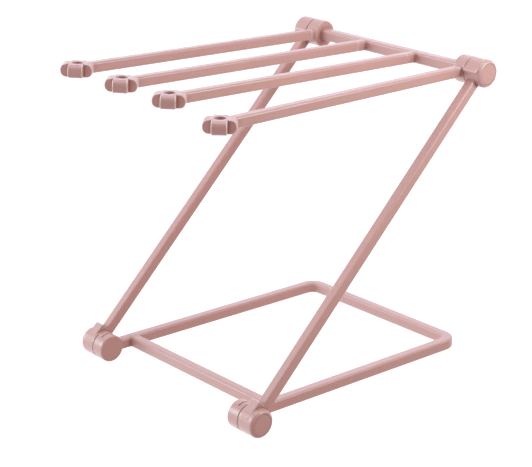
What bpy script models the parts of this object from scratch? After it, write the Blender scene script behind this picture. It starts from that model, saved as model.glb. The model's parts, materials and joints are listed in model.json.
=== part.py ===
"""Folding bottle drying rack in moulded plastic.

Two struts lean back from a flat base frame to a top frame that carries four arms, each ending in a
four-lobed bottle post. Every hinge is a pair of knuckles: the outer half belongs to a strut, the inner
half to the base or to the top frame, and a screw, a spring washer and a cap complete it.

Metres, +Z up, +X across the rack along the hinge axes, -Y towards the arm tips. The origin is under
the middle of the rack, on the surface that it stands on.
"""

import math

import bmesh
import bpy
from mathutils import Matrix, Vector

MM = 0.001

# Driving dimensions
CLEAR = 0.3 * MM  # between pieces that face each other
STRUT_SPAN = 300 * MM  # from hinge axis to hinge axis
STRUT_LEAN = math.radians(43.7)  # above the floor
HALF_WIDTH = 98 * MM  # to the outer end of a hinge
KNUCKLE_RADIUS = 10.2 * MM
OUTER_KNUCKLE = 14.7 * MM  # length along the axis
INNER_KNUCKLE = 10.8 * MM
OUTER_RIM = 2.6 * MM  # rounding of an outer knuckle's free end
INNER_RIM = 1.0 * MM
SEAM_RIM = 0.3 * MM
BASE_DEPTH = 212.5 * MM  # from the lower axis to the middle of the rear bar
FRONT_BAR_SETBACK = 22.9 * MM
BASE_CORNER = 9 * MM  # bend radius of the rear corners, at the rod's centre line
ARM_REACH = 235 * MM  # from the upper axis to the middle of a tip
ARM_RISES = tuple(math.radians(rise) for rise in (2.5, 2.4, 2.3, 0.8))
STUB_REACH = 12.6 * MM  # from the upper axis to an arm's seam
STRUT_X = 89.1 * MM

# Square rods with rounded corners
BASE_ROD = 8 * MM
STRUT_ROD = 7.7 * MM
ARM_ROD = 7.6 * MM
TOP_ROD = 8.5 * MM
CORNER_SHARE = 0.2  # corner radius as a share of the side

# Strut ears, raised to the knuckle's height beside each hinge
LOWER_EAR = 11.6 * MM
UPPER_EAR = 6.6 * MM
EAR_EDGE = 0.5 * MM
EAR_DROP = 0.1 * MM  # of an ear below the top of its knuckle

# Bottle posts at the arm tips
TIP_SPAN = 22.8 * MM
TIP_WIDTH = 10.4 * MM
TIP_HEIGHT = 9.5 * MM
TIP_NOSE = 4.2 * MM  # rounding of a lobe's end
TIP_EDGE = 0.9 * MM
TIP_HOLE_RADIUS = 4.05 * MM

# Plug joint between a stub and its arm
PEG_SIDE = 4.2 * MM
PEG_LENGTH = 12 * MM

# Hinge hardware
SCREW_RADIUS = 2.5 * MM
THREAD_RADIUS = 1.8 * MM
THREAD_LENGTH = 6.5 * MM
HEAD_RADIUS = 4.6 * MM
HEAD_HEIGHT = 2.0 * MM
CAP_RADIUS = 7.2 * MM
CAP_HEIGHT = 2.4 * MM
POCKET_DEPTH = 5.6 * MM  # of the screw's seat below the outer face
WASHER_RADIUS = 5.3 * MM
WASHER_RECESS = 1.4 * MM
WASHER_GAUGE = 0.5 * MM
WASHER_DISH = 0.35 * MM

# Fold stop: a lug on the outer knuckle runs in an arc slot of the inner one
LUG_INNER = 6.4 * MM
LUG_OUTER = 8.3 * MM
LUG_REACH = 1.8 * MM
LUG_SWEEP = math.radians(24)
LUG_ANGLE = math.radians(250)  # its middle, with the rack open
FOLD_SWEEP = math.radians(44.5)
STOP_PLAY = math.radians(2.5)

# Slit in the inner lower knuckle
SLIT_X = 78.4 * MM
SLIT_WIDTH = 1.05 * MM
SLIT_DEPTH = 2.1 * MM
SLIT_START = math.radians(30)
SLIT_SWEEP = math.radians(88)

PINK = (0.71, 0.42, 0.40, 1.0)
STEEL = (0.62, 0.62, 0.63, 1.0)
TURN_STEPS = 36
BORE_STEPS = 20

# Worked out from the driving dimensions
SEAM_X = HALF_WIDTH - OUTER_KNUCKLE
INNER_OUT_X = SEAM_X - CLEAR
INNER_IN_X = INNER_OUT_X - INNER_KNUCKLE
ROD_X = (INNER_OUT_X + INNER_IN_X) / 2
TOP_Y = STRUT_SPAN * math.cos(STRUT_LEAN)
FRONT_END = TOP_Y - ARM_REACH - 11.5 * MM
REAR_END = TOP_Y + KNUCKLE_RADIUS
HINGE_Y = -(FRONT_END + REAR_END) / 2
ARM_XS = tuple(ROD_X * share for share in (-1, -1 / 3, 1 / 3, 1))
ARM_NAMES = ("arm_outer_left", "arm_inner_left", "arm_inner_right", "arm_outer_right")
SIDES = (("left", -1), ("right", 1))


def clear_scene():
    """Start from an empty scene."""
    for item in list(bpy.data.objects):
        bpy.data.objects.remove(item, do_unlink=True)


def collection(name):
    """A new collection in the scene."""
    made = bpy.data.collections.new(name)
    bpy.context.scene.collection.children.link(made)
    return made


def material(name, colour, roughness, metallic):
    """A Principled material."""
    made = bpy.data.materials.new(name)
    made.use_nodes = True
    shader = made.node_tree.nodes["Principled BSDF"]
    shader.inputs["Base Color"].default_value = colour
    shader.inputs["Roughness"].default_value = roughness
    shader.inputs["Metallic"].default_value = metallic
    made.diffuse_color = colour
    return made


def solid(name, shape, target):
    """An object from a bmesh, with its faces turned outwards."""
    bmesh.ops.recalc_face_normals(shape, faces=shape.faces)
    mesh = bpy.data.meshes.new(name)
    shape.to_mesh(mesh)
    shape.free()
    made = bpy.data.objects.new(name, mesh)
    target.objects.link(made)
    return made


def finish(piece, name, slot, parent=None):
    """Name a finished piece, give it its own material and hang it on its pivot."""
    piece.name = name
    piece.data.name = name
    piece.data.materials.clear()
    if slot == "steel":
        piece.data.materials.append(material(name, STEEL, 0.35, 1.0))
    else:
        piece.data.materials.append(material(name, PINK, 0.38, 0.0))
    piece.data.shade_smooth()
    piece.data.set_sharp_from_angle(angle=math.radians(35))
    if parent is not None:
        piece.parent = parent
    return piece


def combine(piece, tool, operation, solver="EXACT"):
    """Join a tool to a piece, or cut it from the piece, and drop the tool."""
    step = piece.modifiers.new(operation, "BOOLEAN")
    step.operation = operation
    step.solver = solver
    step.object = tool
    graph = bpy.context.evaluated_depsgraph_get()
    mesh = bpy.data.meshes.new_from_object(piece.evaluated_get(graph))
    piece.modifiers.clear()
    piece.data = mesh
    bpy.data.objects.remove(tool, do_unlink=True)


def box(low, high, edge=0.0):
    """An upright box between two corners, with its edges rounded."""
    low, high = Vector(low), Vector(high)
    shape = bmesh.new()
    bmesh.ops.create_cube(shape, size=1.0)
    size = high - low
    bmesh.ops.scale(shape, vec=size, verts=shape.verts)
    bmesh.ops.translate(shape, vec=(low + high) / 2, verts=shape.verts)
    if edge:
        round_edges(shape, shape.edges[:], edge, 2)
    return shape


def round_edges(shape, edges, radius, segments):
    """Round the given edges of a bmesh."""
    bmesh.ops.bevel(
        shape,
        geom=edges,
        offset=radius,
        offset_type="OFFSET",
        segments=segments,
        profile=0.5,
        affect="EDGES",
    )


def turned(outline, start=0.0, sweep=2 * math.pi, steps=TURN_STEPS):
    """A solid turned about X from a closed outline of (x, radius) points, whole or in part.

    The start angle is counted from +Y towards +Z. An outline of a whole turn may touch the axis.
    """
    shape = bmesh.new()
    corners = []
    for x, radius in outline:
        point = Vector((x, radius * math.cos(start), radius * math.sin(start)))
        corners.append(shape.verts.new(point))
    face = shape.faces.new(corners)
    whole = math.isclose(sweep, 2 * math.pi)
    geometry = face.edges[:] if whole else [face, *face.edges]
    bmesh.ops.spin(
        shape,
        geom=[*corners, *geometry],
        cent=(0, 0, 0),
        axis=(1, 0, 0),
        dvec=(0, 0, 0),
        angle=sweep,
        steps=steps,
    )
    if whole:
        bmesh.ops.delete(shape, geom=[face], context="FACES_ONLY")
    bmesh.ops.remove_doubles(shape, verts=shape.verts, dist=1e-6)
    loose = [edge for edge in shape.edges if not edge.link_faces]
    bmesh.ops.delete(shape, geom=loose, context="EDGES")
    return shape


def bored(outline):
    """A whole turn in the coarser steps of the hinge hardware and of the holes that take it."""
    return turned(outline, math.pi / BORE_STEPS, 2 * math.pi, BORE_STEPS)


def arc(centre, radius, start, end, steps):
    """Points along an arc in a plane."""
    points = []
    for index in range(steps + 1):
        angle = start + (end - start) * index / steps
        points.append((centre[0] + radius * math.cos(angle), centre[1] + radius * math.sin(angle)))
    return points


def barrel(x_low, x_high, rim_low, rim_high):
    """A hinge knuckle's outside: a cylinder about X with rounded rims."""
    low_centre = (x_low + rim_low, KNUCKLE_RADIUS - rim_low)
    high_centre = (x_high - rim_high, KNUCKLE_RADIUS - rim_high)
    outline = [(x_low, 0)]
    outline += arc(low_centre, rim_low, math.pi, math.pi / 2, 3)
    outline += arc(high_centre, rim_high, math.pi / 2, 0, 3)
    outline.append((x_high, 0))
    return turned(outline)


def ring(x_low, x_high, r_low, r_high, start=0.0, sweep=2 * math.pi, steps=TURN_STEPS):
    """A ring about X, or part of one."""
    outline = [(x_low, r_low), (x_high, r_low), (x_high, r_high), (x_low, r_high)]
    return turned(outline, start, sweep, steps)


def rod(points, side, target):
    """A square rod with rounded corners along a path, as a mesh object."""
    corner = side * CORNER_SHARE
    reach = side / 2 - corner
    outline = []
    for quarter in range(4):
        turn = quarter * math.pi / 2
        centre = Vector((reach, reach)) @ Matrix.Rotation(-turn, 2)
        outline += arc(centre, corner, turn, turn + math.pi / 2, 3)
    section = poly_curve("section", [(x, y, 0) for x, y in outline], True, target)
    path = poly_curve("path", points, False, target)
    path.data.twist_mode = "Z_UP"
    path.data.bevel_mode = "OBJECT"
    path.data.bevel_object = section
    path.data.use_fill_caps = True
    graph = bpy.context.evaluated_depsgraph_get()
    mesh = bpy.data.meshes.new_from_object(path.evaluated_get(graph))
    shape = bmesh.new()
    shape.from_mesh(mesh)
    bmesh.ops.remove_doubles(shape, verts=shape.verts, dist=1e-6)
    bpy.data.objects.remove(path, do_unlink=True)
    bpy.data.objects.remove(section, do_unlink=True)
    bpy.data.meshes.remove(mesh)
    return solid("rod", shape, target)


def poly_curve(name, points, cyclic, target):
    """A curve object through points."""
    curve = bpy.data.curves.new(name, "CURVE")
    curve.dimensions = "2D" if cyclic else "3D"
    spline = curve.splines.new("POLY")
    spline.points.add(len(points) - 1)
    for point, place in zip(spline.points, points):
        point.co = (*place, 1)
    spline.use_cyclic_u = cyclic
    made = bpy.data.objects.new(name, curve)
    target.objects.link(made)
    return made


def inner_knuckle(side):
    """The inner half of a hinge on one side, before its holes."""
    if side > 0:
        return barrel(INNER_IN_X, INNER_OUT_X, INNER_RIM, SEAM_RIM)
    return barrel(-INNER_OUT_X, -INNER_IN_X, SEAM_RIM, INNER_RIM)


def cut_inner_knuckle(piece, side, target):
    """Cut the screw's blind hole and the stop's arc slot into an inner knuckle."""
    mouth = side * (INNER_OUT_X + CLEAR)
    floor = side * (INNER_OUT_X - THREAD_LENGTH - CLEAR)
    radius = THREAD_RADIUS + CLEAR
    hole = bored([(floor, 0), (floor, radius), (mouth, radius), (mouth, 0)])
    combine(piece, solid("hole", hole, target), "DIFFERENCE")
    start = LUG_ANGLE - LUG_SWEEP / 2 - STOP_PLAY - FOLD_SWEEP
    sweep = FOLD_SWEEP + LUG_SWEEP + 2 * STOP_PLAY
    depth = side * (INNER_OUT_X - LUG_REACH)
    slot = ring(depth, mouth, LUG_INNER - CLEAR, LUG_OUTER + CLEAR, start, sweep, 12)
    combine(piece, solid("slot", slot, target), "DIFFERENCE")


def base_frame(target):
    """Rails, rear and front bars and the inner lower knuckles, in one moulding."""
    rear_z = BASE_ROD / 2 - KNUCKLE_RADIUS
    bend_y = BASE_DEPTH - BASE_CORNER
    bend_x = ROD_X - BASE_CORNER
    left = [(-ROD_X, 0, 0)]
    left += [(x, y, rear_z) for x, y in arc((-bend_x, bend_y), BASE_CORNER, math.pi, math.pi / 2, 8)]
    right = [(-x, y, z) for x, y, z in reversed(left)]
    frame = rod(left + right, BASE_ROD, target)
    front_z = rear_z * FRONT_BAR_SETBACK / bend_y
    ends = [(x, FRONT_BAR_SETBACK, front_z) for x in (-ROD_X, ROD_X)]
    combine(frame, rod(ends, BASE_ROD, target), "UNION")
    for _, side in SIDES:
        combine(frame, solid("knuckle", inner_knuckle(side), target), "UNION")
    for _, side in SIDES:
        cut_inner_knuckle(frame, side, target)
        middle = side * SLIT_X
        slit = ring(
            middle - SLIT_WIDTH / 2,
            middle + SLIT_WIDTH / 2,
            KNUCKLE_RADIUS - SLIT_DEPTH,
            KNUCKLE_RADIUS + CLEAR,
            SLIT_START,
            SLIT_SWEEP,
            12,
        )
        combine(frame, solid("slit", slit, target), "DIFFERENCE")
    return frame


def strut(side, target):
    """One strut with its outer knuckles. The strut runs along +Y from the lower axis."""
    x = side * STRUT_X
    inner = KNUCKLE_RADIUS / 2
    bar = rod([(x, inner, 0), (x, STRUT_SPAN - inner, 0)], STRUT_ROD, target)
    half = STRUT_ROD / 2
    upper_low = SEAM_X + SEAM_RIM
    upper_high = HALF_WIDTH - OUTER_RIM
    ears = (
        (x - half, x + half, 0, LOWER_EAR),
        (*sorted((side * upper_low, side * upper_high)), STRUT_SPAN - UPPER_EAR, STRUT_SPAN),
    )
    for low, high, near, far in ears:
        ear = box((low, near, 0), (high, far, KNUCKLE_RADIUS - EAR_DROP), EAR_EDGE)
        combine(bar, solid("ear", ear, target), "UNION")
    for along in (0, STRUT_SPAN):
        lift = Matrix.Translation((0, along, 0))
        low, high = sorted((side * SEAM_X, side * HALF_WIDTH))
        rims = (SEAM_RIM, OUTER_RIM) if side > 0 else (OUTER_RIM, SEAM_RIM)
        shape = barrel(low, high, *rims)
        shape.transform(lift)
        combine(bar, solid("knuckle", shape, target), "UNION")
    for along in (0, STRUT_SPAN):
        cut_outer_knuckle(bar, side, along, target)
    return bar


def cut_outer_knuckle(piece, side, along, target):
    """Bore an outer knuckle for its screw, cap and washer, and add the stop lug."""
    lift = Matrix.Translation((0, along, 0))
    outside = side * (HALF_WIDTH + CLEAR)
    seat = side * (HALF_WIDTH - POCKET_DEPTH)
    recess = side * (SEAM_X + WASHER_RECESS)
    seam = side * (SEAM_X - CLEAR)
    pocket = CAP_RADIUS + CLEAR
    washer = WASHER_RADIUS + CLEAR
    bore = SCREW_RADIUS + CLEAR
    outline = [
        (outside, 0),
        (outside, pocket),
        (seat, pocket),
        (seat, bore),
        (recess, bore),
        (recess, washer),
        (seam, washer),
        (seam, 0),
    ]
    cutter = bored(outline)
    cutter.transform(lift)
    combine(piece, solid("bore", cutter, target), "DIFFERENCE")
    turn = STRUT_LEAN
    start = LUG_ANGLE - LUG_SWEEP / 2 - turn
    tip = side * (SEAM_X - CLEAR - LUG_REACH + CLEAR)
    root = side * (SEAM_X + CLEAR)
    lug = ring(tip, root, LUG_INNER, LUG_OUTER, start, LUG_SWEEP, 6)
    lug.transform(lift)
    combine(piece, solid("lug", lug, target), "UNION", "MANIFOLD")


def top_frame(target):
    """Crossbar on the upper axis, its inner knuckles, and a stub with a peg for each arm."""
    frame = rod([(-INNER_IN_X - MM, 0, 0), (INNER_IN_X + MM, 0, 0)], TOP_ROD, target)
    for _, side in SIDES:
        combine(frame, solid("knuckle", inner_knuckle(side), target), "UNION")
    for x, rise in zip(ARM_XS, ARM_RISES):
        tilt = Matrix.Rotation(-rise, 4, "X")
        start = Vector((x, -TOP_ROD / 4, 0))
        end = Vector((x, CLEAR / 2 - STUB_REACH, 0))
        combine(frame, rod([tilt @ start, tilt @ end], ARM_ROD, target), "UNION", "MANIFOLD")
        half = PEG_SIDE / 2
        peg = box((x - half, -STUB_REACH - PEG_LENGTH, -half), (x + half, MM - STUB_REACH, half))
        peg.transform(tilt)
        combine(frame, solid("peg", peg, target), "UNION", "MANIFOLD")
    for _, side in SIDES:
        cut_inner_knuckle(frame, side, target)
    return frame


def arm(target):
    """An arm along -Y from the upper axis, with its bottle post and its socket."""
    centre = Vector((0, -ARM_REACH, 0))
    bar = rod([(0, -STUB_REACH - CLEAR / 2, 0), (0, TIP_SPAN / 4 - ARM_REACH, 0)], ARM_ROD, target)
    for quarter in (-1, 1):
        shape = lobes()
        shape.transform(Matrix.Translation(centre) @ Matrix.Rotation(quarter * math.pi / 4, 4, "Z"))
        combine(bar, solid("lobes", shape, target), "UNION")
    hole = bmesh.new()
    bmesh.ops.create_cone(
        hole,
        cap_ends=True,
        segments=32,
        radius1=TIP_HOLE_RADIUS,
        radius2=TIP_HOLE_RADIUS,
        depth=TIP_HEIGHT * 2,
        matrix=Matrix.Translation(centre),
    )
    combine(bar, solid("hole", hole, target), "DIFFERENCE")
    half = PEG_SIDE / 2 + CLEAR
    socket = box((-half, -STUB_REACH - PEG_LENGTH - CLEAR, -half), (half, -STUB_REACH + MM, half))
    combine(bar, solid("socket", socket, target), "DIFFERENCE")
    return bar


def lobes():
    """Two opposite lobes of a bottle post: a short bar along Y with round noses."""
    size = Vector((TIP_WIDTH, TIP_SPAN, TIP_HEIGHT))
    shape = box(-size / 2, size / 2)
    noses = [edge for edge in shape.edges if abs(edge.verts[0].co.x - edge.verts[1].co.x) > TIP_WIDTH / 2]
    round_edges(shape, noses, TIP_NOSE, 5)
    sides = [edge for edge in shape.edges if on_one_side(edge)]
    round_edges(shape, sides, TIP_EDGE, 2)
    return shape


def on_one_side(edge):
    """Whether an edge of the lobes runs along one of their flat sides' outline."""
    first, second = (vert.co.x for vert in edge.verts)
    return math.isclose(first, second, abs_tol=1e-7) and edge.calc_face_angle(0) > math.radians(60)


def screw(side):
    """Pivot screw: head, smooth shank and thread core."""
    seat = HALF_WIDTH - POCKET_DEPTH + CLEAR
    shoulder = SEAM_X
    tip = INNER_OUT_X - THREAD_LENGTH
    head = seat + HEAD_HEIGHT
    socket = head - HEAD_HEIGHT * 0.6
    outline = [
        (tip, 0),
        (tip, THREAD_RADIUS * 0.6),
        (tip + THREAD_RADIUS * 0.6, THREAD_RADIUS),
        (shoulder, THREAD_RADIUS),
        (shoulder, SCREW_RADIUS),
        (seat, SCREW_RADIUS),
        (seat, HEAD_RADIUS),
        (head - 0.5 * MM, HEAD_RADIUS),
        (head, HEAD_RADIUS - 0.5 * MM),
        (head, SCREW_RADIUS * 0.7),
        (socket, SCREW_RADIUS * 0.7),
        (socket, 0),
    ]
    return bored([(side * x, radius) for x, radius in outline])


def washer(side):
    """Dished spring washer between the two knuckles."""
    low = SEAM_X + 0.15 * MM
    hole = SCREW_RADIUS + CLEAR
    outline = [
        (low + WASHER_DISH, hole),
        (low + WASHER_DISH + WASHER_GAUGE, hole),
        (low + WASHER_GAUGE, WASHER_RADIUS),
        (low, WASHER_RADIUS),
    ]
    return bored([(side * x, radius) for x, radius in outline])


def cap(side):
    """Cap that closes an outer knuckle's pocket, hollow on the inside."""
    face = HALF_WIDTH - 0.1 * MM
    back = face - CAP_HEIGHT
    skin = face - 1.1 * MM
    bore = CAP_RADIUS - 1.2 * MM
    outline = [
        (skin, 0),
        (skin, bore),
        (back, bore),
        (back, CAP_RADIUS),
        (face - 0.3 * MM, CAP_RADIUS),
        (face, CAP_RADIUS - 0.3 * MM),
        (face, 0),
    ]
    return bored([(side * x, radius) for x, radius in outline])


def pivot(name, location, lean, target, parent=None):
    """An empty on a hinge axis."""
    made = bpy.data.objects.new(name, None)
    made.empty_display_size = 20 * MM
    made.location = location
    made.rotation_euler.x = lean
    made.parent = parent
    target.objects.link(made)
    return made


def build():
    """Make every piece and hang it on its hinge."""
    clear_scene()
    rack = collection("bottle_drying_rack")
    base = pivot("base_axis", (0, HINGE_Y, KNUCKLE_RADIUS), 0, rack)
    lower = pivot("strut_axis", (0, HINGE_Y, KNUCKLE_RADIUS), STRUT_LEAN, rack)
    upper = pivot("top_axis", (0, STRUT_SPAN, 0), -STRUT_LEAN, rack, lower)
    finish(base_frame(rack), "base_frame", "plastic", base)
    finish(top_frame(rack), "top_frame", "plastic", upper)
    for name, x, rise in zip(ARM_NAMES, ARM_XS, ARM_RISES):
        piece = finish(arm(rack), name, "plastic", upper)
        piece.location.x = x
        piece.rotation_euler.x = -rise
    for label, side in SIDES:
        finish(strut(side, rack), f"strut_{label}", "plastic", lower)
        for level, holder, along in (("lower", base, 0), ("upper", upper, STRUT_SPAN)):
            place = f"{level}_{label}"
            finish(solid("screw", screw(side), rack), f"pivot_screw_{place}", "steel", holder)
            for kind, shape in (("washer", washer(side)), ("cap", cap(side))):
                slot = "steel" if kind == "washer" else "plastic"
                fitted = finish(solid(kind, shape, rack), f"hinge_{kind}_{place}", slot, lower)
                fitted.location.y = along
    bpy.context.view_layer.update()


build()
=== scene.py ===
"""Looks of a folding bottle drying rack in satin moulded plastic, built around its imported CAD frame.

Every visible moulding but the caps is meshed from a distance field, so that its rims, its rounded corners
and the small fillets where its features meet are real geometry. Fields are in millimetres, in the frame of
the hinge axis that carries the piece; objects are in metres.
"""

import json
import math

import bpy
import numpy as np
from mathutils import Matrix, Vector


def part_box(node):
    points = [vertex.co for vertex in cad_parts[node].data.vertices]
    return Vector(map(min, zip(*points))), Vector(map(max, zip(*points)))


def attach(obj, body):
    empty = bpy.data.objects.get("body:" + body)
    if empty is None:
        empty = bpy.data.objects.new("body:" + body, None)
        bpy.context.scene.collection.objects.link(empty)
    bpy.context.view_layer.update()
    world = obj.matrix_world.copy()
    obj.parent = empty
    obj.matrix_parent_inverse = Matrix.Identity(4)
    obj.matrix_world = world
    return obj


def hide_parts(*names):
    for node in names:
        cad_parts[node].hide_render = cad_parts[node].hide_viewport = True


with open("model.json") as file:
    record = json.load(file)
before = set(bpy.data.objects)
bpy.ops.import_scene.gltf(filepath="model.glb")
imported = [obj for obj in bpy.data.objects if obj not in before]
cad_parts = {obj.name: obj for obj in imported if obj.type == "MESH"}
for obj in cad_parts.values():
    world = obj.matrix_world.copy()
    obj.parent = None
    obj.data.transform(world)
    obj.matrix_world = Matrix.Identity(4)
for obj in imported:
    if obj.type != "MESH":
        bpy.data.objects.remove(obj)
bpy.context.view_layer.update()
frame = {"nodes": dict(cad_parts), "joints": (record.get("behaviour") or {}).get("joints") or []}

MM = 0.001
JOINTS = {joint["name"]: joint for joint in frame["joints"]}
LOWER = Vector(JOINTS["base_fold"]["pos_m"])
UPPER = Vector(JOINTS["top_fold"]["pos_m"])
LEAN = math.atan2(UPPER.z - LOWER.z, UPPER.y - LOWER.y)

# Sizes in millimetres, as the CAD has them. X is counted from the middle, Y and Z from a hinge axis.
SPAN = (UPPER - LOWER).length / MM  # between the hinge axes
RADIUS = LOWER.z / MM  # of the knuckles
HALF_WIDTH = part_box("strut_right")[1].x / MM
INNER_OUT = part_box("base_frame")[1].x / MM  # outer end of the inner knuckles
INNER_IN = INNER_OUT - 10.8
GAP = 0.3
SEAM = INNER_OUT + GAP  # inner end of the outer knuckles
ROD_X = (INNER_OUT + INNER_IN) / 2  # of the rails and the outer arms
STRUT_X = 89.1
DEPTH = 212.5  # from the lower axis to the rear bar
FRONT_BAR = 22.9  # from the lower axis to the front bar
BASE_CORNER = 9.0
REACH = 235.0  # from the upper axis to the middle of a post
STUB = 12.6  # from the upper axis to the root of an arm
ARMS = (  # name, place across, rise in degrees
    ("arm_outer_left", -ROD_X, 2.5),
    ("arm_inner_left", -ROD_X / 3, 2.4),
    ("arm_inner_right", ROD_X / 3, 2.3),
    ("arm_outer_right", ROD_X, 0.8),
)
SIDES = (("left", -1), ("right", 1))

# Rods, by their side, and rims
BASE_ROD = 8.0
STRUT_ROD = 7.7
ARM_ROD = 7.6
TOP_ROD = 8.5
CORNER = 0.2  # corner radius of a rod as a share of its side
OUTER_RIM = 2.6
INNER_RIM = 1.0
SEAM_RIM = 0.45
ARM_GAP = 0.3
ARM_SEAM_RIM = 0.35

# Slit on top of the inner lower knuckles
SLIT_X = 78.4
SLIT_WIDTH = 1.05
SLIT_DEPTH = 2.1
SLIT_START = math.radians(30)
SLIT_END = math.radians(118)
LEFT_SLIT_DELAY = math.radians(7)  # the left one starts later

# Ears of the outer knuckles, by their reach from the axis
LOWER_EAR = 11.6
UPPER_EAR = 6.6
EAR_TOP = RADIUS - 0.05
EAR_EDGE = 0.45

# Post at an arm's tip, and peg in its root
TIP_SPAN = 22.8
TIP_WIDTH = 10.4
TIP_HEIGHT = 9.5
TIP_NOSE = 4.2
TIP_EDGE = 0.8
TIP_HOLE = 4.05
PEG = 4.2
PEG_LENGTH = 12.0

# Holes of the hinges by their radius, and caps
SCREW_HOLE = 2.1
SCREW_DEPTH = 6.8
SHANK_HOLE = 2.8
WASHER_SEAT = 5.6
WASHER_DEPTH = 1.4
POCKET = 7.5
POCKET_DEPTH = 5.6
CAP_DEPTH = 2.4
CAP_EDGE = 0.12

# Stop lugs of the outer knuckles, and the slots that they run in
STOP_DEPTH = 1.8
LUG_RADII = (6.4, 8.3)
SLOT_RADII = (6.1, 8.6)
LUG_ANGLE = math.radians(250)  # from +Y towards +Z, in the open rack
LUG_SWEEP = math.radians(24)
STOP_TRAVEL = math.radians(44.5)
STOP_SLACK = math.radians(5)


# Distance fields -------------------------------------------------------------------------------


def join(first, second, fillet):
    """Union of two fields with a fillet."""
    share = np.maximum(fillet - np.abs(first - second), 0) / fillet
    return np.minimum(first, second) - share * share * fillet / 4


def cut(field, tool, edge):
    """Field less a tool, with the new edge softened."""
    return -join(-field, tool, edge)


def both(first, second, edge):
    """Intersection of two fields with a softened edge."""
    return -join(-first, -second, edge)


def section(u, v, half_u, half_v, corner):
    """Rounded rectangle in a plane."""
    a = np.abs(u) - half_u + corner
    b = np.abs(v) - half_v + corner
    return np.minimum(np.maximum(a, b), 0) + np.hypot(np.maximum(a, 0), np.maximum(b, 0)) - corner


def extruded(profile, along, edge):
    """A profile's field extruded between two ends, with rounded end edges."""
    a, b = profile + edge, along + edge
    return np.minimum(np.maximum(a, b), 0) + np.hypot(np.maximum(a, 0), np.maximum(b, 0)) - edge


def between(value, low, high):
    """Distance outside a range of one coordinate."""
    return np.maximum(low - value, value - high)


def block(x, y, z, low, high, edge):
    """Box between two corners with rounded edges."""
    q = [np.abs(p - (a + b) / 2) - (b - a) / 2 + edge for p, a, b in zip((x, y, z), low, high)]
    outside = np.sqrt(sum(np.maximum(part, 0) ** 2 for part in q))
    return outside + np.minimum(np.maximum(np.maximum(q[0], q[1]), q[2]), 0) - edge


def barrel(x, y, z, low, high, rim_low, rim_high):
    """Cylinder about X with rounded rims."""
    middle = (low + high) / 2
    rim = np.where(x < middle, rim_low, rim_high)
    return section(x - middle, np.hypot(y, z), (high - low) / 2, RADIUS, rim)


def disc(x, y, z, low, high, radius):
    """Plain cylinder about X."""
    return np.maximum(np.hypot(y, z) - radius, between(x, low, high))


def arc_ring(x, y, z, low, high, r_low, r_high, angle, half_sweep):
    """Part of a ring about X, around an angle counted from +Y towards +Z."""
    rho = np.hypot(y, z)
    turn = np.arctan2(z, y) - angle
    turn = np.abs((turn + np.pi) % (2 * np.pi) - np.pi)
    ring = np.maximum(between(rho, r_low, r_high), between(x, low, high))
    return np.maximum(ring, (turn - half_sweep) * rho)


def knuckle_holes(x, y, z):
    """The screw's hole and the stop's arc slot in an inner knuckle, for x counted outwards."""
    hole = disc(x, y, z, INNER_OUT - SCREW_DEPTH, INNER_OUT + 2, SCREW_HOLE)
    middle = LUG_ANGLE - STOP_TRAVEL / 2
    half_sweep = (STOP_TRAVEL + LUG_SWEEP + STOP_SLACK) / 2
    slot = arc_ring(x, y, z, INNER_OUT - STOP_DEPTH, INNER_OUT + 2, *SLOT_RADII, middle, half_sweep)
    return np.minimum(hole, slot)


def base_field(x, y, z):
    """Rails, rear bar, front bar and the inner lower knuckles."""
    out = np.abs(x)
    half = BASE_ROD / 2
    bend_x, bend_y = ROD_X - BASE_CORNER, DEPTH - BASE_CORNER
    rear_z = half - RADIUS  # the rails sink evenly from the hinge axis to the worktop
    level = rear_z * np.clip(y, 0, bend_y) / bend_y
    corner = np.hypot(np.maximum(out - bend_x, 0), np.maximum(y - bend_y, 0)) - BASE_CORNER
    inner = np.maximum(out - ROD_X, y - DEPTH)
    across = np.where((out > bend_x) & (y > bend_y), corner, inner)
    rails = section(across, z - level, half, half, BASE_ROD * CORNER)
    rails = both(rails, -y - 1, 0.4)
    front = section(y - FRONT_BAR, z - rear_z * FRONT_BAR / bend_y, half, half, BASE_ROD * CORNER)
    front = np.maximum(front, out - ROD_X)
    solid = join(rails, front, 1.1)
    solid = join(solid, barrel(out, y, z, INNER_IN, INNER_OUT, INNER_RIM, SEAM_RIM), 0.9)
    solid = cut(solid, knuckle_holes(out, y, z), 0.2)
    start = SLIT_START + np.where(x < 0, LEFT_SLIT_DELAY, 0)
    half_sweep = (SLIT_END - start) / 2
    slit = arc_ring(
        out, y, z, SLIT_X - SLIT_WIDTH / 2, SLIT_X + SLIT_WIDTH / 2,
        RADIUS - SLIT_DEPTH, RADIUS + 2, start + half_sweep, half_sweep,
    )
    return cut(solid, slit, 0.22)


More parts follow.
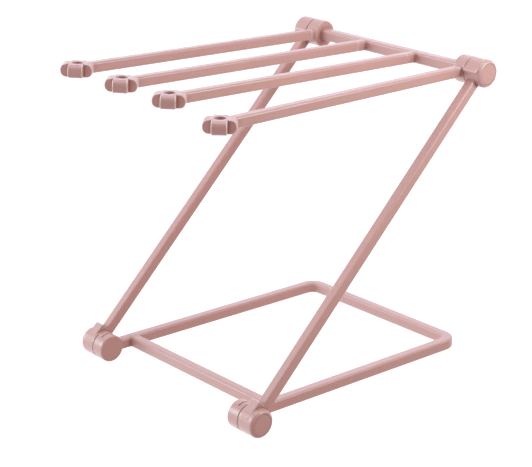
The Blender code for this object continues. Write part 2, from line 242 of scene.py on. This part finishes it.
def strut_field(x, y, z):
    """The right strut, along +Y from the lower axis."""
    half = STRUT_ROD / 2
    solid = section(x - STRUT_X, z, half, half, STRUT_ROD * CORNER)
    solid = np.maximum(solid, between(y, 5, SPAN - 5))
    low_corners = (STRUT_X - half, -3, -1), (STRUT_X + half, LOWER_EAR, EAR_TOP)
    high_corners = (SEAM + 0.2, SPAN - UPPER_EAR, -1), (HALF_WIDTH - OUTER_RIM, SPAN + 3, EAR_TOP)
    for along, corners in ((0, low_corners), (SPAN, high_corners)):
        solid = join(solid, barrel(x, y - along, z, SEAM, HALF_WIDTH, SEAM_RIM, OUTER_RIM), 0.5)
        solid = join(solid, block(x, y, z, *corners, EAR_EDGE), 0.35)
    for along in (0, SPAN):
        tool = disc(x, y - along, z, HALF_WIDTH - POCKET_DEPTH, HALF_WIDTH + 2, POCKET)
        tool = np.minimum(tool, disc(x, y - along, z, SEAM - 2, HALF_WIDTH, SHANK_HOLE))
        tool = np.minimum(tool, disc(x, y - along, z, SEAM - 2, SEAM + WASHER_DEPTH, WASHER_SEAT))
        solid = cut(solid, tool, 0.1)
        middle = LUG_ANGLE - LEAN
        lug = arc_ring(x, y - along, z, SEAM - STOP_DEPTH, SEAM + 0.5, *LUG_RADII, middle, LUG_SWEEP / 2)
        solid = np.minimum(solid, lug)
    return solid


def top_field(x, y, z):
    """Crossbar on the upper axis with its knuckles, arm stubs and pegs."""
    half = TOP_ROD / 2
    solid = section(y, z, half, half, TOP_ROD * CORNER)
    solid = np.maximum(solid, np.abs(x) - INNER_IN - 1)
    out = np.abs(x)
    solid = join(solid, barrel(out, y, z, INNER_IN, INNER_OUT, INNER_RIM, SEAM_RIM), 0.7)
    for _, place, rise in ARMS:
        lean = math.radians(rise)
        along = -y * math.cos(lean) + z * math.sin(lean)
        up = y * math.sin(lean) + z * math.cos(lean)
        stub = section(x - place, up, ARM_ROD / 2, ARM_ROD / 2, ARM_ROD * CORNER)
        stub = extruded(stub, between(along, 1, STUB - ARM_GAP / 2), ARM_SEAM_RIM)
        solid = join(solid, stub, 0.9)
        peg = section(x - place, up, PEG / 2, PEG / 2, 0.3)
        solid = np.minimum(solid, np.maximum(peg, between(along, STUB - 2, STUB + PEG_LENGTH)))
    return cut(solid, knuckle_holes(out, y, z), 0.2)


def arm_field(x, y, z):
    """An arm along -Y from the upper axis, with its four-lobed post."""
    solid = section(x, z, ARM_ROD / 2, ARM_ROD / 2, ARM_ROD * CORNER)
    solid = extruded(solid, between(y, TIP_SPAN / 4 - REACH, -STUB - ARM_GAP / 2), ARM_SEAM_RIM)
    lobes = None
    for sign in (-1, 1):
        u = (x + sign * (y + REACH)) / math.sqrt(2)
        v = (x - sign * (y + REACH)) / math.sqrt(2)
        profile = section(u, z, TIP_SPAN / 2, TIP_HEIGHT / 2, TIP_NOSE)
        bar = extruded(profile, np.abs(v) - TIP_WIDTH / 2, TIP_EDGE)
        lobes = bar if lobes is None else join(lobes, bar, 0.25)
    solid = join(solid, lobes, 0.35)
    solid = cut(solid, np.hypot(x, y + REACH) - TIP_HOLE, 0.5)
    socket = section(x, z, PEG / 2 + GAP, PEG / 2 + GAP, 0.4)
    socket = np.maximum(socket, between(y, -STUB - PEG_LENGTH - GAP, 0))
    return cut(solid, socket, 0.1)


# Meshing ---------------------------------------------------------------------------------------

BEND_REACH = 0.7
ROOMS = ((1.0, 0.5), (2.5, 0.45), (6.0, 0.15))  # reach along the normal, weight; these set the painted shade in hollows
SEAM_EDGE_FADE = 0.5  # edges nearer to a seam than this get less of the painted highlight and wear
SEAM_SHADE = 0.8  # width of the painted shade beside a seam


def lines(*runs):
    """Grid lines along one axis, from runs of (low, high, step)."""
    parts = [np.linspace(low, high, max(2, round((high - low) / step) + 1)) for low, high, step in runs]
    return np.unique(np.concatenate(parts).round(4))


def slope(field, points, reach=0.02):
    """Gradient of a field at points."""
    parts = []
    for axis in range(3):
        step = np.zeros(3)
        step[axis] = reach
        parts.append((field(*(points + step).T) - field(*(points - step).T)) / (2 * reach))
    return np.stack(parts, axis=1)


def surface(field, grid):
    """Quads over a field's zero surface: one corner for each grid cell that the surface crosses."""
    values = field(*np.meshgrid(*grid, indexing="ij"))
    cells = tuple(length - 1 for length in values.shape)
    total = np.zeros((*cells, 3))
    count = np.zeros(cells)
    quads = []
    for axis in range(3):
        near = np.take(values, range(cells[axis]), axis)
        far = np.take(values, range(1, cells[axis] + 1), axis)
        index = np.argwhere((near < 0) != (far < 0))
        start, end = near[tuple(index.T)], far[tuple(index.T)]
        point = np.stack([grid[k][index[:, k]] for k in range(3)], axis=1)
        pitch = grid[axis][index[:, axis] + 1] - grid[axis][index[:, axis]]
        point[:, axis] += pitch * start / (start - end)
        corners = []
        for one, two in ((0, 0), (-1, 0), (-1, -1), (0, -1)):
            cell = index.copy()
            cell[:, (axis + 1) % 3] += one
            cell[:, (axis + 2) % 3] += two
            np.add.at(total, tuple(cell.T), point)
            np.add.at(count, tuple(cell.T), 1)
            corners.append(np.ravel_multi_index(tuple(cell.T), cells))
        corners = np.stack(corners, axis=1)
        corners[start >= 0] = corners[start >= 0][:, ::-1]
        quads.append(corners)
    used = np.flatnonzero(count)
    number = np.full(count.size, -1)
    number[used] = np.arange(len(used))
    points = total.reshape(-1, 3)[used] / count.reshape(-1)[used][:, None]
    return points, number[np.concatenate(quads)]


def settle(field, points):
    """Points moved onto the field's zero surface."""
    for _ in range(5):
        rise = slope(field, points)
        steep = np.maximum((rise**2).sum(1), 0.3)
        points = points - rise * np.clip(field(*points.T) / steep, -0.25, 0.25)[:, None]
    return points


def painted_shade_share(field, points, normals):
    """Share of painted shade at each point, 0 to 1, from how closed in it is: the room left along its
    normal.
    """
    total = np.zeros(len(points))
    for reach, weight in ROOMS:
        total += weight * np.maximum(0, 1 - field(*(points + normals * reach).T) / reach)
    return np.clip(total, 0, 1)


def spread(values, quads):
    """Values at points, evened out over the faces round each point."""
    total = np.zeros(len(values))
    count = np.zeros(len(values))
    np.add.at(total, quads, values[quads].mean(axis=1)[:, None])
    np.add.at(count, quads, 1)
    return total / np.maximum(count, 1)


def moulding(name, field, grid, matrix, seam, mirror=False):
    """A piece meshed from its field and put in place.

    Each point keeps the field's normal, its bend, which is above 0 on outer edges and sets a painted
    highlight with slight wear, and its share of painted shade from hollows and seams; seam gives the
    distance from the joints that close on the piece.
    """
    points, quads = surface(field, grid)
    points = settle(field, points)
    normals = slope(field, points, 0.05)
    normals /= np.maximum(np.linalg.norm(normals, axis=1), 1e-6)[:, None]
    bend = -6 * field(*points.T)
    for axis in range(3):
        step = np.zeros(3)
        step[axis] = BEND_REACH
        bend = bend + field(*(points + step).T) + field(*(points - step).T)
    apart = seam(*points.T)
    # the bend sets the pale edges, a painted highlight with slight wear, faded near seams
    bend = spread(bend / BEND_REACH * np.clip(apart / SEAM_EDGE_FADE, 0, 1), quads)
    # painted shade: in hollows, and beside seams
    shade = 1 - np.clip(apart / SEAM_SHADE, 0, 1)
    painted_shade_mask = spread(np.maximum(painted_shade_share(field, points, normals), shade), quads)
    if mirror:
        points[:, 0] *= -1
        normals[:, 0] *= -1
        quads = quads[:, ::-1]
    turn = np.array(matrix.to_3x3())
    points = points * MM @ turn.T + np.array(matrix.translation)
    normals = normals @ turn.T
    mesh = bpy.data.meshes.new(name)
    mesh.from_pydata(points.tolist(), [], quads.tolist())
    mesh.shade_smooth()
    mesh.normals_split_custom_set_from_vertices(normals.tolist())
    for title, value in (("bend", np.clip(bend, -2, 2)), ("painted_shade_share", painted_shade_mask)):
        mesh.attributes.new(title, "FLOAT", "POINT").data.foreach_set("value", value.astype(np.float32))
    piece = bpy.data.objects.new(name, mesh)
    bpy.context.scene.collection.objects.link(piece)
    return piece


# Pieces ----------------------------------------------------------------------------------------

FINE = 0.4  # grid step where a piece has detail
FINEST = 0.2  # grid step across seams
EDGE = RADIUS + 0.8  # where the grid round a knuckle ends
ARM_SEAM_EASE = 0.35  # keeps the painted shade beside the arms' seams faint
ARM_SEAM_HALF = 6  # reach of those seams above and below the axis
CAP_SEAM_EASE = 1.5  # keeps the painted shade round a cap narrow


def knuckle_seam(x, y, z):
    """Distance from the seams between inner and outer knuckles."""
    return np.abs(np.abs(x) - (INNER_OUT + SEAM) / 2)


def strut_seam(x, y, z):
    """Distance from a strut's seams, at its knuckles and round its caps."""
    along = np.where(y > SPAN / 2, y - SPAN, y)
    rim = np.hypot(x - HALF_WIDTH, np.hypot(along, z) - POCKET)
    return np.minimum(knuckle_seam(x, y, z), CAP_SEAM_EASE * rim)


def top_seam(x, y, z):
    """Distance from the top frame's seams, at its knuckles and at its arms."""
    arms = np.hypot(y + STUB, np.maximum(np.abs(z) - ARM_SEAM_HALF, 0)) + ARM_SEAM_EASE
    return np.minimum(knuckle_seam(x, y, z), arms)


def arm_seam(x, y, z):
    """Distance from the seam at an arm's root."""
    return np.abs(y + STUB) + ARM_SEAM_EASE


def base_piece():
    """The base frame."""
    wide = lines((ROD_X - 6.2, ROD_X + 2.8, FINE), (INNER_OUT - 3.8, INNER_OUT + 0.7, FINEST))
    bends = lines((ROD_X - 15, ROD_X - 6.2, 0.6))
    inner = lines((-ROD_X + 15, ROD_X - 15, 6))
    xs = np.unique(np.concatenate((-wide, -bends, inner, bends, wide)).round(4))
    ys = lines(
        (-EDGE, FRONT_BAR + 5.5, FINE),
        (FRONT_BAR + 5.5, DEPTH - 15, 5),
        (DEPTH - 15, DEPTH - 7, 0.6),
        (DEPTH - 7, DEPTH + 4.8, FINE),
    )
    zs = lines((-EDGE, EDGE, FINE))
    return moulding("rack_base", base_field, (xs, ys, zs), Matrix.Translation(LOWER), knuckle_seam)


def strut_piece(label, side):
    """One strut."""
    xs = lines((SEAM - 2.47, SEAM + 1.93, FINEST), (SEAM + 1.93, HALF_WIDTH + 0.8, FINE))
    ys = lines((-EDGE, 16, FINE), (16, SPAN - 14, 8), (SPAN - 14, SPAN + EDGE, FINE))
    zs = lines((-EDGE, EDGE, FINE))
    place = Matrix.Translation(LOWER) @ Matrix.Rotation(LEAN, 4, "X")
    return moulding(f"rack_strut_{label}", strut_field, (xs, ys, zs), place, strut_seam, side < 0)


def top_piece():
    """The top frame."""
    left_arm, right_arm = ARMS[1][1], ARMS[2][1]
    xs = lines(
        (-INNER_OUT - 0.7, -INNER_OUT + 2.6, FINEST),
        (-INNER_OUT + 2.6, -INNER_IN + 1, FINE),
        (-INNER_IN + 1, left_arm - 5, 5),
        (left_arm - 5, left_arm + 5, FINE),
        (left_arm + 5, right_arm - 5, 5),
        (right_arm - 5, right_arm + 5, FINE),
        (right_arm + 5, INNER_IN - 1, 5),
        (INNER_IN - 1, INNER_OUT - 2.6, FINE),
        (INNER_OUT - 2.6, INNER_OUT + 0.7, FINEST),
    )
    ys = lines(
        (-STUB - PEG_LENGTH - 1, -STUB - 1, 0.9),
        (-STUB - 1, -STUB + 1, FINEST),
        (-STUB + 1, EDGE, FINE),
    )
    zs = lines((-EDGE, EDGE, FINE))
    return moulding("rack_top", top_field, (xs, ys, zs), Matrix.Translation(UPPER), top_seam)


def arm_piece(name, place, rise):
    """One arm."""
    xs = lines((-12.1, 11.9, FINE))
    ys = lines(
        (-REACH - 12.1, -REACH + 12.3, FINE),
        (-REACH + 12.3, -STUB - PEG_LENGTH - 2, 8),
        (-STUB - PEG_LENGTH - 2, -STUB - 1, 0.9),
        (-STUB - 1, -STUB + 1, FINEST),
    )
    zs = lines((-5.5, 5.3, FINE))
    centre = UPPER + Vector((place * MM, 0, 0))
    matrix = Matrix.Translation(centre) @ Matrix.Rotation(math.radians(-rise), 4, "X")
    return moulding(f"rack_{name}", arm_field, (xs, ys, zs), matrix, arm_seam)


def lathe(name, outline, centre, steps=96):
    """A solid turned about X from an outline of (x, radius) points, with a flat face at either end."""
    points, faces = [], []
    for x, radius in outline:
        for index in range(steps):
            turn = 2 * math.pi * index / steps
            points.append((x * MM, radius * MM * math.cos(turn), radius * MM * math.sin(turn)))
    for ring in range(len(outline) - 1):
        for index in range(steps):
            after = (index + 1) % steps
            low, high = ring * steps, (ring + 1) * steps
            faces.append((low + index, low + after, high + after, high + index))
    faces.append(tuple(reversed(range(steps))))
    faces.append(tuple(range(len(points) - steps, len(points))))
    mesh = bpy.data.meshes.new(name)
    mesh.from_pydata(points, [], faces)
    piece = bpy.data.objects.new(name, mesh)
    piece.location = centre
    bpy.context.scene.collection.objects.link(piece)
    return piece


def cap_piece(label, side, level, centre):
    """The cap in an outer knuckle's end, with a rounded edge."""
    face = HALF_WIDTH - 0.04
    radius = POCKET - 0.05
    outline = [(face - CAP_DEPTH, radius - 0.4), (face - CAP_DEPTH + 0.2, radius)]
    for step in range(7):
        turn = math.pi / 2 * step / 6
        x = face - CAP_EDGE + CAP_EDGE * math.sin(turn)
        outline.append((x, radius - CAP_EDGE + CAP_EDGE * math.cos(turn)))
    for share in (0.75, 0.5, 0.25, 0.06):
        outline.append((face, radius * share))
    outline = [(side * x, r) for x, r in outline]
    if side < 0:
        outline = outline[::-1]
    piece = lathe(f"rack_cap_{level}_{label}", outline, centre)
    piece.data.shade_smooth()
    piece.data.set_sharp_from_angle(angle=math.radians(50))
    return piece


# Materials -------------------------------------------------------------------------------------

PINK = (0.60, 0.287, 0.252, 1.0)
# Pale edge colour: a painted highlight on outer edges, also standing for slight wear
EDGE_WEAR_AND_HIGHLIGHT = (0.92, 0.78, 0.76, 1.0)
# Deep colour: painted shade in hollows, creases and beside seams
PAINTED_SHADE = (0.36, 0.115, 0.095, 1.0)


class Graph:
    """A new material, with short ways to build its nodes."""

    def __init__(self, name):
        self.material = bpy.data.materials.new(name)
        self.material.use_nodes = True
        self.tree = self.material.node_tree
        self.shader = self.tree.nodes["Principled BSDF"]

    def node(self, kind, **inputs):
        """A new node with some of its inputs set or linked."""
        made = self.tree.nodes.new(kind)
        for key, value in inputs.items():
            self.set(made.inputs[key.replace("_", " ")], value)
        return made

    def set(self, socket, value):
        """Link an output to a socket, or give the socket a constant."""
        if isinstance(value, bpy.types.NodeSocket):
            self.tree.links.new(value, socket)
        else:
            socket.default_value = value

    def noise(self, where, scale, detail, rough):
        """Noise from 0 to 1."""
        made = self.node("ShaderNodeTexNoise", Vector=where, Scale=scale, Detail=detail, Roughness=rough)
        return made.outputs["Fac"]

    def ramp(self, value, low, high, to_low, to_high):
        """A value carried from one range to another and held at its ends."""
        made = self.node("ShaderNodeMapRange", Value=value)
        for key, amount in zip(("From Min", "From Max", "To Min", "To Max"), (low, high, to_low, to_high)):
            made.inputs[key].default_value = amount
        return made.outputs["Result"]

    def maths(self, operation, first, second):
        """Sum or product of two values."""
        made = self.node("ShaderNodeMath")
        made.operation = operation
        self.set(made.inputs[0], first)
        self.set(made.inputs[1], second)
        return made.outputs["Value"]

    def mix(self, share, first, second):
        """A mix of two colours."""
        made = self.node("ShaderNodeMix")
        made.data_type = "RGBA"
        self.set(made.inputs[0], share)
        self.set(made.inputs[6], first)
        self.set(made.inputs[7], second)
        return made.outputs[2]


def plastic(name, colour, seed, wear_and_highlight=0.5):
    """Satin moulded plastic: faint flow marks, orange peel, pale outer edges that paint a highlight and
    slight wear, and painted shade in hollows and beside seams.
    """
    graph = Graph(name)
    where = graph.node("ShaderNodeTexCoord").outputs["Object"]
    shift = graph.node("ShaderNodeMapping", Vector=where)
    shift.inputs["Location"].default_value = (seed * 0.37, seed * 0.21, seed * 0.11)
    place = shift.outputs["Vector"]
    flow = graph.noise(place, 38, 3, 0.55)
    grain = graph.noise(place, 900, 2, 0.6)
    bend = graph.node("ShaderNodeAttribute")
    bend.attribute_name = "bend"
    # painted shade share, read from the mesh
    painted_shade_mask = graph.node("ShaderNodeAttribute")
    painted_shade_mask.attribute_name = "painted_shade_share"
    paler = tuple(min(1.0, part * 1.12 + 0.02) for part in colour[:3]) + (1.0,)
    deeper = tuple(part * 0.95 for part in colour[:3]) + (1.0,)
    base = graph.mix(graph.ramp(flow, 0.3, 0.7, 0.0, 1.0), deeper, colour)
    base = graph.mix(graph.ramp(grain, 0.35, 0.7, 0.0, 0.35), base, paler)
    # Pale outer edges: a painted highlight, also standing for slight wear, patchy along the flow marks
    edges = graph.ramp(bend.outputs["Fac"], 0.6, 1.1, 0.0, wear_and_highlight)
    worn_and_highlit = graph.maths("MULTIPLY", edges, graph.ramp(flow, 0.3, 0.7, 0.7, 1.0))
    base = graph.mix(worn_and_highlit, base, EDGE_WEAR_AND_HIGHLIGHT)
    # Painted shade in hollows and beside seams
    base = graph.mix(graph.ramp(painted_shade_mask.outputs["Fac"], 0.08, 0.85, 0.0, 0.9), base, PAINTED_SHADE)
    graph.set(graph.shader.inputs["Base Color"], base)
    rough = graph.ramp(graph.noise(place, 120, 4, 0.6), 0.3, 0.7, 0.33, 0.43)
    graph.set(graph.shader.inputs["Roughness"], rough)
    graph.shader.inputs["IOR"].default_value = 1.5
    graph.shader.inputs["Specular IOR Level"].default_value = 0.9
    graph.shader.inputs["Sheen Weight"].default_value = 0.12
    graph.shader.inputs["Sheen Roughness"].default_value = 0.35
    graph.shader.inputs["Subsurface Weight"].default_value = 0.08
    graph.shader.inputs["Subsurface Radius"].default_value = (1.0, 0.45, 0.4)
    graph.shader.inputs["Subsurface Scale"].default_value = 0.0015
    peel = graph.noise(place, 420, 2, 0.5)
    fine = graph.noise(place, 2600, 1, 0.5)
    height = graph.maths("ADD", peel, graph.maths("MULTIPLY", fine, 0.25))
    bump = graph.node("ShaderNodeBump", Height=height, Strength=0.12, Distance=0.00012)
    graph.set(graph.shader.inputs["Normal"], bump.outputs["Normal"])
    return graph.material


def steel(name):
    """Steel with fine tool marks."""
    graph = Graph(name)
    where = graph.node("ShaderNodeTexCoord").outputs["Object"]
    marks = graph.noise(where, 1500, 2, 0.6)
    tone = graph.mix(graph.ramp(marks, 0.3, 0.7, 0.0, 1.0), (0.5, 0.5, 0.51, 1), (0.66, 0.66, 0.67, 1))
    graph.set(graph.shader.inputs["Base Color"], tone)
    graph.shader.inputs["Metallic"].default_value = 1.0
    graph.set(graph.shader.inputs["Roughness"], graph.ramp(marks, 0.3, 0.7, 0.25, 0.4))
    bump = graph.node("ShaderNodeBump", Height=marks, Strength=0.1, Distance=0.0001)
    graph.set(graph.shader.inputs["Normal"], bump.outputs["Normal"])
    return graph.material


# Assembly --------------------------------------------------------------------------------------


def place_piece(piece, body, node, material):
    """Give a piece its material and its body, and hide the CAD node that it stands for."""
    piece.data.materials.clear()
    piece.data.materials.append(material)
    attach(piece, body)
    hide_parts(node)


def build_rack():
    """Every visible piece, on its body."""
    place_piece(base_piece(), "base", "base_frame", plastic("base_plastic", PINK, 1))
    place_piece(top_piece(), "top", "top_frame", plastic("top_plastic", PINK, 2))
    for number, (name, place, rise) in enumerate(ARMS):
        arm = arm_piece(name, place, rise)
        place_piece(arm, "top", name, plastic(f"{name}_plastic", PINK, 3 + number, 1.0))
    for number, (label, side) in enumerate(SIDES):
        strut = strut_piece(label, side)
        finish = plastic(f"strut_{label}_plastic", PINK, 8 + number)
        place_piece(strut, "struts", f"strut_{label}", finish)
        for level, centre in (("lower", LOWER), ("upper", UPPER)):
            cap = cap_piece(label, side, level, centre)
            finish = plastic(f"cap_{level}_{label}_plastic", PINK, 10 + number)
            place_piece(cap, "struts", f"hinge_cap_{level}_{label}", finish)
    metal = steel("turned_steel")
    for name, node in frame["nodes"].items():
        if name.startswith(("pivot_screw", "hinge_washer")):
            node.data.materials.clear()
            node.data.materials.append(metal)


# Stage -----------------------------------------------------------------------------------------

# The camera, from a perspective fit of the photo
AZIMUTH = math.radians(48.29)
ELEVATION = math.radians(19.99)
DISTANCE = 1.2209
LENS = 111.96
TARGET = Vector((-0.00287, LOWER.y + 0.09276, 0.0986))

FLOOR_REACH = 6.0
MIDDLE = Vector((0, 0, 0.1))  # of the rack

# Strengths and tints, here and in lighting(), began as a fit of trial renders to the photo's tones and
# were then rounded and changed.
SKY = (  # axis of a ray, its share along it where light starts and where it is full, colour
    ((0, 0, -1), -0.2, 0.8, (0.34, 0.32, 0.31)),
    ((-0.54, -0.6, -0.59), 0.1, 1, (0.22, 0.23, 0.23)),
    ((-0.665, -0.746, 0), 0, 1, (0.55, 0.78, 0.88)),
    ((0.665, 0.746, 0), 0.6, 1, (0.22, 0.26, 0.23)),
    ((-0.703, 0.626, -0.1), 0.2, 1, (1.6, 1.85, 2.15)),
    ((0, -1, 0), 0, 1, (0.21, 0.21, 0.21)),
    ((1, 0, 0), 0, 1, (0.26, 0.14, 0.13)),
)


def camera():
    """The camera, at the viewing angle."""
    made = bpy.data.cameras.new("camera")
    made.lens = LENS
    made.sensor_width = 36.0
    made.clip_start = 0.05
    made.clip_end = 50
    eye = bpy.data.objects.new("camera", made)
    bpy.context.scene.collection.objects.link(eye)
    back = Vector((
        math.sin(AZIMUTH) * math.cos(ELEVATION),
        -math.cos(AZIMUTH) * math.cos(ELEVATION),
        math.sin(ELEVATION),
    ))
    eye.location = TARGET + back * DISTANCE
    eye.rotation_euler = back.to_track_quat("Z", "Y").to_euler()
    bpy.context.scene.camera = eye


def floor():
    """A plain pale floor."""
    mesh = bpy.data.meshes.new("floor")
    corners = [(FLOOR_REACH * x, FLOOR_REACH * y, 0) for x, y in ((-1, -1), (1, -1), (1, 1), (-1, 1))]
    mesh.from_pydata(corners, [], [(0, 1, 2, 3)])
    made = bpy.data.objects.new("floor", mesh)
    made.location.z = -0.0001
    bpy.context.scene.collection.objects.link(made)
    graph = Graph("floor")
    graph.shader.inputs["Base Color"].default_value = (0.42, 0.40, 0.39, 1)
    graph.shader.inputs["Roughness"].default_value = 0.9
    graph.shader.inputs["Specular IOR Level"].default_value = 0.0
    graph.shader.inputs["Emission Color"].default_value = (1, 1, 1, 1)
    graph.shader.inputs["Emission Strength"].default_value = 0.82
    graph.material.cycles.emission_sampling = "NONE"
    mesh.materials.append(graph.material)
    made.visible_diffuse = False
    made.visible_glossy = False
    made.visible_shadow = False


def around(direction, distance):
    """The place at a distance from the rack's middle."""
    return MIDDLE + Vector(direction).normalized() * distance


def light(name, place, target, size, power, colour):
    """A square softbox turned towards a target."""
    made = bpy.data.lights.new(name, "AREA")
    made.shape = "SQUARE"
    made.size = size
    made.energy = power
    made.color = colour
    box = bpy.data.objects.new(name, made)
    box.location = place
    box.rotation_euler = (place - target).to_track_quat("Z", "Y").to_euler()
    bpy.context.scene.collection.objects.link(box)


def sky_part(tree, ray, axis, low, high, colour):
    """Light from one side of the sky, rising from low to high of a ray's share along an axis."""
    share = tree.nodes.new("ShaderNodeVectorMath")
    share.operation = "DOT_PRODUCT"
    share.inputs[1].default_value = axis
    tree.links.new(ray, share.inputs[0])
    ramp = tree.nodes.new("ShaderNodeMapRange")
    ramp.inputs["From Min"].default_value = low
    ramp.inputs["From Max"].default_value = high
    tree.links.new(share.outputs["Value"], ramp.inputs["Value"])
    tint = tree.nodes.new("ShaderNodeVectorMath")
    tint.operation = "SCALE"
    tint.inputs[0].default_value = colour
    tree.links.new(ramp.outputs["Result"], tint.inputs["Scale"])
    return tint.outputs["Vector"]


def lighting():
    """Soft studio light: the sky's parts, three boxes round the rack, and one near the upper hinges.

    The near one makes the light fall off downwards.
    """
    world = bpy.data.worlds.new("studio")
    world.use_nodes = True
    tree = world.node_tree
    ray = tree.nodes.new("ShaderNodeTexCoord").outputs["Generated"]
    parts = [sky_part(tree, ray, *part) for part in SKY]
    total = parts[0]
    for part in parts[1:]:
        add = tree.nodes.new("ShaderNodeVectorMath")
        tree.links.new(total, add.inputs[0])
        tree.links.new(part, add.inputs[1])
        total = add.outputs["Vector"]
    tree.links.new(total, tree.nodes["Background"].inputs["Color"])
    bpy.context.scene.world = world
    light("left", around((-0.665, -0.746, 0.35), 1.6), MIDDLE, 0.7, 10.2, (0.87, 1.06, 1.12))
    light("right", around((0.5, 0.866, 0.3), 1.5), MIDDLE, 0.7, 1.7, (1.07, 0.86, 1.07))
    light("top", around((0, 0, 1), 1.4), MIDDLE, 1.0, 8.0, (0.95, 1.03, 1.13))
    light("near", Vector((0.5, 0.24, 0.43)), Vector((0.03, 0.05, 0.2)), 0.3, 2.4, (0.78, 1.09, 1.13))


build_rack()
camera()
floor()
lighting()
scene = bpy.context.scene
scene.view_settings.view_transform = "Standard"
scene.view_settings.look = "None"
bpy.context.view_layer.update()
